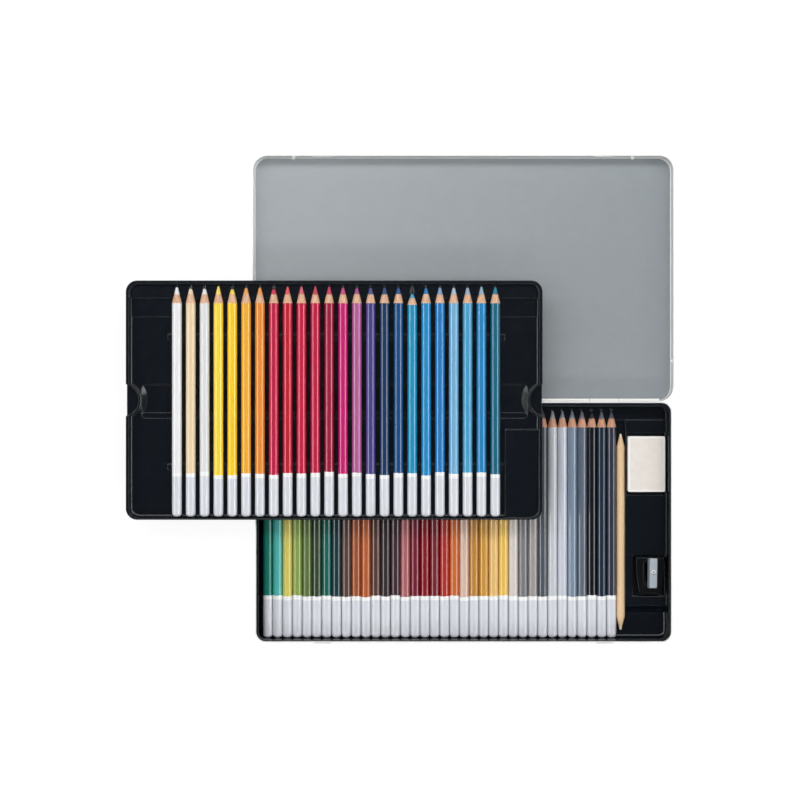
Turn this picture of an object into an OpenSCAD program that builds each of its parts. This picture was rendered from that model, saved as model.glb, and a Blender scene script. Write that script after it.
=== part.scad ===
// Two-layer coloured pencil tin, open: hinged tin box, lower insert with 36 pencils,
// stump, eraser and sharpener, and a lift-out tray with 24 pencils laid across the hinge.
// Origin at the centre of the underside of the base, +X along the tin, +Y to the hinge, +Z up.

/* [Pencils] */
// Diameter of a pencil
pencil_d = 7.5; // [6.8:0.1:8]
// Length of a pencil
pencil_len = 176; // [140:1:190]
// Length of the sharpened cone
pencil_cone = 13; // [10:0.5:18]
// Radius of the cone at its end, before the point is rounded
pencil_tip_r = 0.6; // [0.3:0.05:0.9]
// Length of the steeper cone of the one short pencil
short_cone = 9.3; // [8:0.1:12]
// How much shorter the painted part of the short pencil is
short_by = 1.3; // [0:0.1:3]
// Diameter of the pastel core
core_d = 4.1; // [2.5:0.1:4.6]
// Rounding of the dipped end
butt_round = 2.6; // [1:0.1:3.2]
// Room between the core and the wood around it
core_gap = 0.02; // [0.01:0.01:0.05]

/* [Tinplate] */
// Thickness of the tinplate
sheet = 0.3; // [0.2:0.05:0.5]
// Thickness of a folded rim
hem = 0.7; // [0.6:0.05:1.2]
// Height of a folded rim
hem_h = 2.4; // [1.5:0.1:4]
// Height of the base
base_h = 23; // [21:0.5:30]
// Outer corner radius of the base
base_corner = 8; // [7:0.5:8]
// Rounding round the bottom of the base and of the formed wells
pressed_round = 3; // [1.5:0.5:3]
// Height of the closed tin
closed_h = 26; // [24.5:0.5:36]

/* [Lid] */
// Room between the sides of the base and the lid
lid_side_gap = 2.1; // [1.5:0.1:4]
// Room between the front of the base and the lid
lid_front_gap = 2.5; // [2.4:0.1:4]
// Outer corner radius of the lid
lid_corner = 11; // [6.5:0.5:12]
// Rounding round the panel of the lid
lid_round = 1.5; // [1:0.5:3]
// Height of the lid's rim above the hinge axis when open
lid_rim_rise = 1.2; // [0.8:0.1:3]

/* [Hinge and catches] */
// Diameter of the hinge wire
wire_d = 1.6; // [1.2:0.1:2.4]
// Running clearance round the wire
wire_gap = 0.05; // [0.02:0.01:0.09]
// Distance of each knuckle and each catch from the middle
knuckle_x = 108.7; // [60:0.5:125]
// Length of a knuckle
knuckle_len = 22; // [10:0.5:30]
// Gap between the rolled edge of the lid and the base
hinge_gap = 0.3; // [0.3:0.05:1]
// Length of a catch bump
bump_len = 14.7; // [8:0.1:24]
// How far a catch bump stands out of the base
bump_out = 1.6; // [1:0.1:2]
// How far a catch bead stands into the lid
bead_in = 0.6; // [0.4:0.1:0.9]
// Height of the catch bumps on the base
bump_z = 18.5; // [17:0.5:19.5]
// Height of the guide pips when closed
pip_closed_z = 17.5; // [16:0.5:18]
// Drop from a catch bump to its bead when closed
bead_drop = 3.5; // [3:0.1:4]
// Clearance of the guide pips beside the base
pip_gap = 0.4; // [0.3:0.05:1]
// Distance of the front pips from the middle
front_pip_x = 131; // [122:1:135]
// Distance of the side pips from the hinge axis
side_pip_y = 30.2; // [15:0.1:60]

/* [Formed plastic] */
// Thickness of the formed plastic sheet
film = 0.6; // [0.4:0.05:0.9]
// Width of the insert's rim across a corner
corner_rim = 1; // [1:0.1:1.4]
// Room between the insert and the folded rim of the base
insert_gap = 0.1; // [0.05:0.05:0.4]
// Drop of the insert below the rim of the base
insert_drop = 0.4; // [0.2:0.1:1]
// Room under the floor of the insert
insert_lift = 0.1; // [0.05:0.05:0.3]
// Width of the insert's rim at the sides
insert_side_rim = 1.5; // [1:0.1:3]
// Width of the insert's rim at the hinge side
insert_rear_rim = 2.4; // [1:0.1:4]
// Height of the ledge under the lower points
lower_ledge_h = 3.6; // [2:0.1:3.8]
// Depth of the ledge under the lower points
lower_ledge_d = 11; // [6:0.5:12]
// Height of the raised field round the eraser and the sharpener
field_h = 5.5; // [4:0.5:8]
// Length of the slope at the front of the field
field_slope = 6; // [2:0.1:8]
// Depth of the low floor in front of the field
front_floor = 19; // [10:0.1:24]

/* [Lower layer] */
// Number of pencils in the lower layer
lower_count = 36; // [34:1:37]
// Gap between neighbouring lower pencils
lower_gap = 0.11; // [0.08:0.01:0.3]
// Room beside the first pencil
lower_margin = 2.35; // [2.3:0.05:4]
// Room behind the butts
butt_gap = 0.3; // [0.2:0.1:1]
// Room in front of the lower points
lower_tip_gap = 3.4; // [2:0.1:6]
// Clearance of a pencil over its bed
bed_gap = 0.1; // [0.05:0.01:0.2]
// Clearance of a point in its pocket
tip_clear = 0.3; // [0.2:0.05:0.5]

/* [Stump, eraser and sharpener] */
// Diameter of the paper stump
stump_d = 6.4; // [5:0.1:8]
// Length of the paper stump
stump_len = 151.7; // [120:0.1:160]
// Length of each pointed end of the stump
stump_cone = 10; // [8:0.5:20]
// Room on each side of the stump
stump_gap = 0.2; // [0.15:0.05:0.5]
// Width of the eraser
eraser_w = 28.7; // [26:0.1:32]
// Length of the eraser
eraser_l = 42.9; // [35:0.1:44]
// Thickness of the eraser
eraser_t = 10.8; // [6:0.1:11]
// Room round the eraser across the tin
eraser_side_gap = 1; // [0.5:0.1:1.5]
// Room round the eraser along the pencils
eraser_end_gap = 2.6; // [1:0.1:3]
// Distance of the eraser's pocket from the hinge-side ledge
eraser_set_back = 9.8; // [5:0.1:11]
// Width of the sharpener at its widest
sharp_w = 22.2; // [20:0.1:23]
// Width of the sharpener's narrow end
sharp_end_w = 16; // [14:0.5:18]
// Length of the sharpener
sharp_l = 28; // [24:0.5:29]
// Rounding of the corners at the narrow end
sharp_round = 2.5; // [0.5:0.5:4]
// Height of the sharpener at its mouth
sharp_h = 12; // [11:0.5:13]
// Slope of the sharpener's top, in degrees
sharp_slope = 7; // [5:0.5:8]
// Diameter of the mouth for the pencil
sharp_mouth_d = 8.4; // [8:0.1:8.8]
// Width of the blade
blade_w = 7.3; // [7:0.1:8.5]
// Length of the blade
blade_l = 23.2; // [20:0.1:23.5]
// Distance of the blade from the axis of the pencil
blade_x = 1.6; // [0.5:0.1:2]
// Distance of the blade from the mouth
blade_back = 0.6; // [0.4:0.1:1]
// Thickness of the blade
blade_t = 0.6; // [0.4:0.1:0.8]
// Distance of the screw from the middle of the blade, towards its back
screw_x = 0.9; // [0:0.1:1.2]
// Distance of the screw from the middle of the blade, towards the mouth
screw_y = 1; // [0:0.1:3]
// Width of the slot where the shavings come out
chip_slot_w = 3; // [2:0.1:3.5]
// Diameter of the blade screw's head
screw_head_d = 3.6; // [3:0.1:4.2]
// Diameter of the blade screw's shank
screw_d = 1.8; // [1.4:0.1:2.2]
// Length of the sharpener's pocket
sharp_pocket_l = 32; // [30:0.5:33]
// Room from the slope to the sharpener's pocket
sharp_pocket_y = 7.3; // [3:0.1:9]
// How much narrower the sharpener's pocket is than the eraser's
sharp_pocket_less = 5.2; // [3:0.1:6]
// Room beside the sharpener on the right
sharp_side_gap = 1.4; // [0.5:0.1:1.6]
// Room in front of the sharpener's mouth
sharp_end_gap = 1.6; // [0.5:0.1:2]
// Distance of the stump's end from the butts
stump_set_back = 6.1; // [1:0.1:8]

/* [Tray] */
// Number of pencils in the tray
upper_count = 24; // [20:1:26]
// Gap between neighbouring pencils in the tray
upper_gap = 3.065; // [1.5:0.005:3.3]
// Shift of the row of pencils towards the right
upper_shift = 1.3; // [0:0.1:3]
// Height of the tray
tray_h = 10.5; // [10.5:0.1:11]
// Room between the edge of the tray and the edge of the insert
tray_inset = 0.25; // [0.2:0.05:0.6]
// Outer corner radius of the tray
tray_corner = 8.6; // [7:0.1:10]
// Width of the tray's rim at the sides
tray_side_rim = 2.4; // [2.2:0.1:5]
// Width of the tray's rim at the butts
tray_front_rim = 1.3; // [1.3:0.1:2]
// Room behind the butts in the tray
tray_butt_gap = 0.8; // [0.3:0.1:1]
// Room in front of the points in the tray
tray_tip_gap = 1.9; // [1.5:0.1:2.2]
// Depth of the finger channel below the tray's floor
channel_drop = 2; // [1:0.1:2.4]
// Width of the channel's floor
channel_w = 21; // [16:0.1:24]
// Length of the slope on the butts' side of the channel
channel_run = 4.3; // [1:0.1:5]
// Length of the steep wall on the points' side of the channel
channel_rise = 0.8; // [0.4:0.1:3]
// Length of the channel
channel_len = 295.6; // [270:0.1:298]
// Rounding of the channel's corners
channel_corner = 4; // [2:0.5:6]
// Distance of the channel's floor from the ridge round a notch
channel_end = 4.4; // [3:0.1:6]
// Shift of the channel's floor towards the points
channel_shift = 0.9; // [0:0.1:3]
// Radius of the finger notches in the ends of the tray
notch_r = 12.4; // [10:0.1:13]
// Distance of a notch's centre outside the tray's edge
notch_out = 2.7; // [1:0.1:4]
// Height of the notch floor
notch_floor = 3; // [2:0.1:4]
// Width of the ridge round a notch
notch_ridge = 1.6; // [1.2:0.1:2]
// Height of the two ribs that hold the pencils
rib_h = 2.2; // [1:0.1:3]
// Width of a rib
rib_w = 4.6; // [3:0.1:6]
// Place of the rib near the points, from the tray's middle
rib_tip_y = 48.1; // [35:0.1:55]
// Place of the rib near the butts, from the tray's middle
rib_butt_y = -51.1; // [-58:0.1:-35]
// Height of the step in the tray's floor near the points
tray_step_h = 0.4; // [0.1:0.1:1]
// Place of that step, from the tray's middle
tray_step_y = 63.7; // [60:0.1:70]
// Height of the tray's ledge under the points
tray_ledge_h = 3.2; // [2:0.1:3.4]
// Depth of the tray's ledge under the points
tray_ledge_d = 11.1; // [6:0.1:11.5]
// Height of the raised field in the corner of the tray
cover_h = 4.5; // [2:0.1:6]
// Width of the raised field in the corner of the tray
cover_w = 26.1; // [18:0.1:26.5]
// Length of the raised field in the corner of the tray
cover_l = 67.3; // [50:0.1:68]
// Place of the open tray along the tin, from the base's middle
tray_x = -98.9; // [-110:0.1:-97]
// Place of the open tray across the tin, from the base's middle
tray_y = 93.5; // [92:0.1:96]
// Gap between the open tray and the rim of the base it lies on
tray_lift = 0.3; // [0.1:0.1:0.5]

/* [Hidden] */
// The pencils in the tray from left to right: name, colour, and how far the point is worn back
upper_shades = [
    ["white", "#eeeff0", 0.7], ["ivory", "#ecd6b6", 1.8], ["pearl", "#e1dfda", 1.8],
    ["lemon", "#f5dd50", 0], ["yellow", "#f5cb30", 2.3], ["golden_yellow", "#edae3e", 1.1],
    ["orange", "#e78f40", 1], ["crimson", "#bd1c44", 2.1], ["scarlet", "#c22036", 0.4],
    ["rose_red", "#c82b4c", 0.4], ["carmine", "#bb1c44", 0], ["dark_crimson", "#9a1c3c", 0.4],
    ["magenta", "#b9206a", 0.9], ["lilac", "#ae6096", 1.4], ["violet", "#4a4284", 1.1],
    ["navy", "#123258", 0.9], ["dark_blue", "#064a7c", 1.4], ["cyan", "#0687b3", 0.8],
    ["azure", "#0786bc", 1.2], ["mid_blue", "#1e78ba", 0.9], ["light_blue", "#78b0d4", 1.1],
    ["sky_blue", "#4e9cc6", 1], ["blue", "#067eb8", 0.3], ["teal", "#066480", 0.6]
];
short_pencil = 17; // the short one, counted from 0
// The shades of the lower layer, from left to right
lower_shades = [
    "#087c6c", "#56b4ac", "#d6ca6a", "#8ea456", "#607840", "#364a34", "#12685e", "#16343a",
    "#5a423a", "#a45a38", "#bc6840", "#58403a", "#342a2e", "#402a32", "#b06c70", "#7c2434",
    "#8e1e2a", "#7e2832", "#b03a34", "#ca7042", "#d8bcac", "#c28c44", "#d09840", "#e4be7c",
    "#eac468", "#d6cdc8", "#7c7e82", "#9e9a98", "#525a62", "#c8cace", "#c8ccd6", "#8292a6",
    "#626e7e", "#10121a", "#203446", "#323448"
];
// The lower pencils that share a node: name, first and last
lower_groups = [
    ["lower_green_pencils", 1, 8], ["lower_brown_pencils", 9, 14], ["lower_red_pencils", 15, 19],
    ["lower_ochre_pencils", 20, 25], ["lower_warm_grey_pencils", 26, 29]
];
// The lower pencils clear of the tray: name, and how far the point is worn back
lower_single = [
    ["silver_grey", 0.2], ["pale_blue_grey", 0], ["blue_grey", 0.2], ["slate", 0.5],
    ["black", 1.4], ["ink_blue", 0.7], ["dark_violet_grey", 0.7]
];
first_single = 30;

FINE = 96;
ROUND = 48;
SMALL = 32;
join = 0.3; // how far joined solids reach into each other

function two_digits(n) = n < 10 ? str("0", n) : str(n);
function upper_name(i) = str("upper_pencil_", two_digits(i + 1), "_", upper_shades[i][0]);
function single_name(i) = str("lower_pencil_", first_single + i, "_", lower_single[i][0]);
function upper_shade(i) = upper_shades[i % len(upper_shades)][1];
function upper_wear(i) = upper_shades[i % len(upper_shades)][2];
function upper_cone(i) = i == short_pencil ? short_cone : pencil_cone;
function painted_len(i) = painted - (i == short_pencil ? short_by : 0);
function lower_shade(i) = lower_shades[i % len(lower_shades)];

// Lower layer across the tin, from left to right
pencil_r = pencil_d / 2;
painted = pencil_len - pencil_cone; // length of a pencil behind its cone
lower_pitch = pencil_d + lower_gap;
upper_pitch = pencil_d + upper_gap;
pocket_w = eraser_w + 2 * eraser_side_gap;
pocket_wall = 0.43; // from the pocket to the right wall of the insert
insert_in_w = lower_margin + lower_count * lower_pitch + stump_d + 2 * stump_gap
    + film + pocket_w + pocket_wall;
in_left = -insert_in_w / 2;
in_right = insert_in_w / 2;
row_left = in_left + lower_margin;
row_right = row_left + lower_count * lower_pitch;
stump_x = row_right + stump_gap + stump_d / 2;
field_left = row_right + stump_d + 2 * stump_gap;
pocket_left = field_left + film;
pocket_right = pocket_left + pocket_w;

// Lower layer along the pencils, from butt to tip
insert_in_d = butt_gap + pencil_len + lower_tip_gap;
insert_w = insert_in_w + 2 * insert_side_rim;
insert_d = insert_in_d + film + insert_rear_rim;
base_w = insert_w + 2 * (insert_gap + hem);
base_d = insert_d + 2 * (insert_gap + hem);
in_front = -insert_d / 2 + film;
in_rear = in_front + insert_in_d;
in_mid = (in_front + in_rear) / 2;
butt_y = in_front + butt_gap;
ledge_y = in_rear - lower_ledge_d;

// Heights in the base
insert_z = sheet + insert_lift;
floor_z = insert_z + film;
insert_top = base_h - insert_drop;
lower_axis_z = floor_z + pencil_r + bed_gap;
field_z = floor_z + field_h;
insert_corner = base_corner - hem - insert_gap;
well_corner = insert_corner - film - corner_rim;

// Pockets of the insert, front to back
slope_foot_y = in_front + front_floor;
slope_top_y = slope_foot_y + field_slope;
sharp_pocket_front = slope_top_y + sharp_pocket_y;
sharp_pocket_w = pocket_w - sharp_pocket_less;
eraser_pocket_rear = ledge_y - eraser_set_back;
eraser_pocket_l = eraser_l + 2 * eraser_end_gap;
eraser_x = (pocket_left + pocket_right) / 2;
eraser_y = eraser_pocket_rear - eraser_pocket_l / 2;
sharp_x = pocket_right - sharp_side_gap - sharp_w / 2;
sharp_y = sharp_pocket_front + sharp_pocket_l - sharp_end_gap - sharp_l;
stump_y = butt_y + stump_set_back;

// Hinge and lid
hinge_z = closed_h / 2;
curl_r = wire_d / 2 + wire_gap + sheet;
hinge_y = base_d / 2 + hinge_gap + curl_r;
lid_w = base_w + 2 * (lid_side_gap + sheet);
lid_near = hinge_y - curl_r;
lid_far = 2 * hinge_y + base_d / 2 + lid_front_gap + sheet;
lid_d = lid_far - lid_near;
lid_mid = (lid_far + lid_near) / 2;
lid_h = hinge_z + lid_rim_rise;
curl_len = lid_w - 2 * lid_corner;
window_len = knuckle_len + 0.8;
window_drop = 0.6;
bead_z = closed_h - (bump_z - bead_drop);
pip_r = 1.5;
pip_z = closed_h - pip_closed_z;

// Tray
tray_z = base_h + tray_lift;
tray_w = insert_w - 2 * tray_inset;
tray_d = insert_d - 2 * tray_inset;
tray_floor = channel_drop + film;
tray_rear_rim = tray_d - tray_front_rim - tray_butt_gap - pencil_len - tray_tip_gap;
well_half = tray_w / 2 - tray_side_rim;
well_front = -tray_d / 2 + tray_front_rim;
well_rear = tray_d / 2 - tray_rear_rim;
well_mid = (well_front + well_rear) / 2;
well_d = well_rear - well_front;
tray_butt_y = well_front + tray_butt_gap;
upper_axis_z = tray_floor + pencil_r + bed_gap;
upper_first_x = upper_shift - (upper_count - 1) / 2 * upper_pitch;
tray_ledge_y = well_rear - tray_ledge_d;
rib_bed_r = pencil_r + 0.8 * bed_gap; // the ribs' beds stay clear of the pencils and the floor

// ---- shapes that repeat ----

// A block with round upright corners, standing on z = 0
module rounded_block(w, d, r, h) {
    translate([-w / 2 + r, -d / 2, 0]) cube([w - 2 * r, d, h]);
    translate([-w / 2, -d / 2 + r, 0]) cube([w, d - 2 * r, h]);
    at_corners(w / 2 - r, d / 2 - r)
        rotate_extrude(angle = 90, $fn = FINE) square([r, h]);
}

// Its children in the four corners, each turned outwards
module at_corners(x, y) {
    for (q = [0:3]) {
        side_x = q == 0 || q == 3 ? 1 : -1;
        side_y = q < 2 ? 1 : -1;
        translate([side_x * x, side_y * y, 0]) rotate(90 * q) children();
    }
}

// Carries a wall section, measured from the axis of a corner, all round a box
module all_round(w, d, corner) {
    x = w / 2 - corner;
    y = d / 2 - corner;
    at_corners(x, y) rotate_extrude(angle = 90, $fn = FINE) children();
    for (turn = [0, 180]) rotate(turn) {
        translate([x, y, 0]) rotate([90, 0, 0]) linear_extrude(2 * y) children();
        translate([-x, y, 0]) rotate([90, 0, 90]) linear_extrude(2 * x) children();
    }
}

// Quarter of a disc or of a ring, in the lower right
module quarter(r, inner = 0) {
    intersection() {
        difference() {
            circle(r = r, $fn = ROUND);
            if (inner > 0) circle(r = inner, $fn = ROUND);
        }
        translate([0, -r]) square([r, r]);
    }
}

// An open pan with upright walls and a rounded bottom edge
module pressed_pan(w, d, h, corner, round_r, t) {
    all_round(w, d, corner) {
        translate([corner - t, round_r]) square([t, h - round_r]);
        translate([corner - round_r, round_r]) quarter(round_r, round_r - t);
        square([corner - round_r, t]);
    }
    translate([-w / 2 + corner, -d / 2 + corner, 0])
        cube([w - 2 * corner, d - 2 * corner, t]);
}

// The whole space that such a pan takes up
module pressed_block(w, d, h, corner, round_r) {
    all_round(w, d, corner) {
        translate([0, round_r]) square([corner, h - round_r]);
        translate([corner - round_r, round_r]) quarter(round_r);
        square([corner - round_r, round_r + join]);
    }
    translate([-w / 2 + corner, -d / 2 + corner, 0])
        cube([w - 2 * corner, d - 2 * corner, h]);
}

// A folded band that follows the outside of a pan's wall
module hem_band(w, d, corner, thick, h) {
    difference() {
        rounded_block(w, d, corner, h);
        translate([0, 0, -1]) rounded_block(w - 2 * thick, d - 2 * thick, corner - thick, h + 2);
    }
}

// A round bar along X
module bar_x(r, len, fn = ROUND) {
    translate([-len / 2, 0, 0]) rotate([0, 90, 0]) cylinder(r = r, h = len, $fn = fn);
}

// A pressed bead with round ends along X
module bead_x(r, len) {
    bar_x(r, len - 2 * r, SMALL);
    for (s = [-1, 1]) translate([s * (len / 2 - r), 0, 0]) sphere(r = r, $fn = SMALL);
}

// Half of such a bead, as it stands out of a sheet towards -Y
module bump_x(r, len) {
    intersection() {
        bead_x(r, len);
        translate([-len / 2, -r, -r]) cube([len, r, 2 * r]);
    }
}

// ---- pencils ----

core_r = core_d / 2;
core_start = 1;

// How far in front of the paint a cone has come down to a radius
function cone_reach(r, cone) = (pencil_r - r) * cone / (pencil_r - pencil_tip_r);

// Points of the outer rounding at the dipped end of a turned section
function butt_arc(steps) = [
    for (k = [0:steps]) let (a = -90 + 90 * k / steps)
        [pencil_r - butt_round + butt_round * cos(a), butt_round + butt_round * sin(a)]
];

// Points of the ball that rounds a point, from where it meets the cone to the axis
function point_arc(end, wear, cone, steps) =
    let (
        a = atan((pencil_r - pencil_tip_r) / cone),
        cut_r = pencil_tip_r + tan(a) * wear,
        ball_r = cut_r * cos(a) / (1 - sin(a))
    ) [
        for (k = [0:steps]) let (b = a + (90 - a) * k / steps)
            [ball_r * cos(b), end - wear - ball_r + ball_r * sin(b)]
    ];

// Wooden barrel of a pencil, butt at the origin and point towards +Y
module barrel(body = painted, cone = pencil_cone) {
    hole_r = core_r + core_gap;
    rotate([-90, 0, 0]) rotate_extrude($fn = ROUND) polygon(concat(
        [[0, 0]],
        butt_arc(5),
        [
            [pencil_r, body],
            [hole_r, body + cone_reach(hole_r, cone)],
            [hole_r, core_start],
            [0, core_start]
        ]
    ));
}

// Pastel core of a pencil, with its point worn back and rounded
module core(body = painted, cone = pencil_cone, wear = 0) {
    rotate([-90, 0, 0]) rotate_extrude($fn = ROUND) polygon(concat(
        [
            [0, core_start + core_gap],
            [core_r, core_start + core_gap],
            [core_r, body + cone_reach(core_r, cone)]
        ],
        point_arc(body + cone, wear, cone, 4)
    ));
}

// Space that the point of a pencil needs in a ledge, from its widest place
module point_space(clear, reach) {
    translate([0, pencil_len - pencil_cone, 0]) rotate([-90, 0, 0])
        cylinder(r1 = pencil_r + clear, r2 = pencil_tip_r + clear, h = pencil_cone, $fn = SMALL);
    translate([0, pencil_len - join, 0]) rotate([-90, 0, 0])
        cylinder(r = pencil_tip_r + clear, h = reach + join, $fn = SMALL);
}

module at_lower(i) {
    translate([row_left + (i + 0.5) * lower_pitch, butt_y, lower_axis_z]) children();
}

module at_upper(i) {
    translate([upper_first_x + i * upper_pitch, tray_butt_y, upper_axis_z]) children();
}

module in_tray() {
    translate([tray_x, tray_y, tray_z]) children();
}

module upper_barrel(i) {
    color(upper_shade(i)) in_tray() at_upper(i) barrel(painted_len(i), upper_cone(i));
}

module upper_cores() {
    color("#c8b8a8") in_tray() for (i = [0:upper_count - 1])
        at_upper(i) core(painted_len(i), upper_cone(i), upper_wear(i));
}

module lower_barrels(first, last) {
    for (n = [first:last]) color(lower_shade(n - 1)) at_lower(n - 1) barrel();
}

module covered_cores() {
    color("#8c7c70") for (n = [1:first_single - 1]) at_lower(n - 1) core();
}

module grey_cores() {
    color("#5c6068") for (n = [first_single:lower_count]) at_lower(n - 1)
        core(wear = lower_single[(n - first_single) % len(lower_single)][1]);
}

// ---- tin ----

// Pressed base with its folded rim and two catch bumps
module base_tin() {
    color("#d8dadc") {
        pressed_pan(base_w, base_d, base_h, base_corner, pressed_round, sheet);
        translate([0, 0, base_h - hem_h]) hem_band(base_w, base_d, base_corner, hem, hem_h);
        for (s = [-1, 1]) translate([s * knuckle_x, -base_d / 2 + sheet / 2, bump_z])
            bump_x(bump_out + sheet / 2, bump_len);
    }
}

// The two straps of the base rolled round the hinge wire
module hinge_knuckles() {
    color("#d0d2d4") for (s = [-1, 1]) translate([s * knuckle_x, hinge_y, hinge_z])
        difference() {
            union() {
                bar_x(curl_r, knuckle_len, FINE);
                translate([-knuckle_len / 2, -curl_r - hinge_gap, 0])
                    cube([knuckle_len, curl_r + hinge_gap, curl_r]);
            }
            bar_x(wire_d / 2 + wire_gap, knuckle_len + 2, FINE);
        }
}

module hinge_wire() {
    color("#b8babc") translate([0, hinge_y, hinge_z]) bar_x(wire_d / 2, curl_len - 2, FINE);
}

// Pressed lid, lying open on its outside: walls, folded rim, rolled edge, beads and pips
module lid_shell() {
    color("#a4a9ad") {
        difference() {
            union() {
                translate([0, lid_mid, 0])
                    pressed_pan(lid_w, lid_d, lid_h, lid_corner, lid_round, sheet);
                lid_hem();
                lid_beads();
                lid_pips();
            }
            // the near wall is rolled up at the hinge axis, and its corners are as low
            translate([-lid_w / 2 - 1, lid_near - 1, hinge_z])
                cube([lid_w + 2, 1 + lid_corner, lid_rim_rise + 1]);
            knuckle_windows();
            translate([0, hinge_y, hinge_z]) bar_x(wire_d / 2 + wire_gap, curl_len + 2, FINE);
        }
        rolled_edge();
    }
}

// Folded rim of the lid, left out on the hinge side
module lid_hem() {
    fold = hem - sheet;
    translate([0, lid_mid, lid_h - hem_h]) difference() {
        hem_band(lid_w + 2 * fold, lid_d + 2 * fold, lid_corner + fold, hem, hem_h);
        translate([-lid_w, -lid_d / 2 - lid_corner, -1])
            cube([2 * lid_w, 2 * lid_corner, hem_h + 2]);
    }
}

// Catch beads on the far wall, which snap over the bumps of the base
module lid_beads() {
    for (s = [-1, 1]) translate([s * knuckle_x, lid_far - sheet / 2, bead_z])
        bump_x(bead_in + sheet / 2, bump_len);
}

// Guide pips on the far wall and near the hinge, which keep the closed lid central
module lid_pips() {
    for (s = [-1, 1]) {
        translate([s * front_pip_x, lid_far - sheet / 2, pip_z]) rotate([90, 0, 0])
            pip(lid_front_gap + sheet / 2 - pip_gap);
        translate([s * (lid_w / 2 - sheet / 2), hinge_y + side_pip_y, pip_z])
            rotate([0, -90 * s, 0]) pip(lid_side_gap + sheet / 2 - pip_gap);
    }
}

// Openings in the lid's edge where the knuckles of the base sit
module knuckle_windows() {
    for (s = [-1, 1])
        translate([s * knuckle_x - window_len / 2, lid_near - 1, hinge_z - curl_r - window_drop])
            cube([window_len, 2 * curl_r + 2, 3 * curl_r + window_drop]);
}

// The lid's edge rolled round the wire, left out where the knuckles sit
module rolled_edge() {
    difference() {
        translate([0, hinge_y, hinge_z]) difference() {
            bar_x(curl_r, curl_len, FINE);
            bar_x(wire_d / 2 + wire_gap, curl_len + 2, FINE);
        }
        knuckle_windows();
    }
}

// A pressed guide pip that stands up from its foot
module pip(out) {
    cylinder(r = pip_r, h = out - pip_r / 2, $fn = SMALL);
    translate([0, 0, out - pip_r / 2]) cylinder(r1 = pip_r, r2 = pip_r / 2, h = pip_r / 2, $fn = SMALL);
}

// ---- formed plastic ----

// A flat rim round a well
module well_rim(w, d, corner, well_w, well_d, inner_corner, shift_y) {
    difference() {
        rounded_block(w, d, corner, film);
        translate([0, shift_y, -1]) rounded_block(well_w, well_d, inner_corner, film + 2);
    }
}

// Cross-section of the raised field along Y, less a skin of the given thickness
module field_section(skin) {
    slope_skin = 1.4 * skin; // a skin's width along Y where it lies on the slope
    bottom = insert_z - (skin > 0 ? 1 : 0);
    back = ledge_y + join - skin;
    polygon([
        [slope_foot_y + slope_skin, bottom],
        [slope_foot_y + slope_skin, floor_z],
        [slope_top_y + slope_skin, field_z - skin],
        [back, field_z - skin],
        [back, bottom]
    ]);
}

module field_block(left, right, skin) {
    translate([left, 0, 0]) rotate([90, 0, 90]) linear_extrude(right - left) field_section(skin);
}

// A pocket's outside or hollow in the raised field
module pocket_box(x0, x1, y0, y1, grow, bottom, top) {
    translate([x0 - grow, y0 - grow, bottom])
        cube([x1 - x0 + 2 * grow, y1 - y0 + 2 * grow, top - bottom]);
}

module eraser_pocket(grow, bottom, top) {
    pocket_box(pocket_left, pocket_right, eraser_y - eraser_pocket_l / 2, eraser_pocket_rear,
        grow, bottom, top);
}

module sharpener_pocket(grow, bottom, top) {
    pocket_box(pocket_right - sharp_pocket_w, pocket_right, sharp_pocket_front,
        sharp_pocket_front + sharp_pocket_l, grow, bottom, top);
}

// Where the well of the insert stands
module at_insert_well() {
    translate([0, in_mid, insert_z]) children();
}

// What stands on the floor of the insert: the ledge under the points, and the field with its pockets
module insert_relief() {
    difference() {
        union() {
            translate([in_left - film, ledge_y, insert_z])
                cube([insert_in_w + 2 * film, lower_ledge_d + film, floor_z + lower_ledge_h - insert_z]);
            field_block(field_left, in_right + film, 0);
        }
        field_block(field_left + film, in_right - film, film);
        for (i = [0:lower_count - 1]) at_lower(i) point_space(tip_clear, 1);
    }
    eraser_pocket(film, insert_z, field_z);
    sharpener_pocket(film, insert_z, field_z);
}

// Black insert of the base
module lower_insert() {
    well_w = insert_in_w + 2 * film;
    well_d = insert_in_d + 2 * film;
    deep = insert_top - insert_z;
    color("#16181c") difference() {
        union() {
            difference() {
                at_insert_well()
                    pressed_pan(well_w, well_d, deep, well_corner + film, pressed_round, film);
                field_block(field_left + film, in_right - film, film);
            }
            translate([0, 0, insert_top - film]) well_rim(insert_w, insert_d, insert_corner,
                insert_in_w, insert_in_d, well_corner, in_mid);
            intersection() {
                insert_relief();
                at_insert_well() pressed_block(well_w, well_d, deep, well_corner + film, pressed_round);
            }
        }
        eraser_pocket(0, floor_z, field_z + 1);
        sharpener_pocket(0, floor_z, field_z + 1);
    }
}

// Space round one end notch of the tray, limited to the tray's outline
module notch_disc(side, r, bottom, top) {
    intersection() {
        translate([side * (tray_w / 2 + notch_out), 0, bottom])
            cylinder(r = r, h = top - bottom, $fn = FINE);
        translate([-tray_w / 2, -tray_d / 2, bottom]) cube([tray_w, tray_d, top - bottom]);
    }
}

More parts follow.
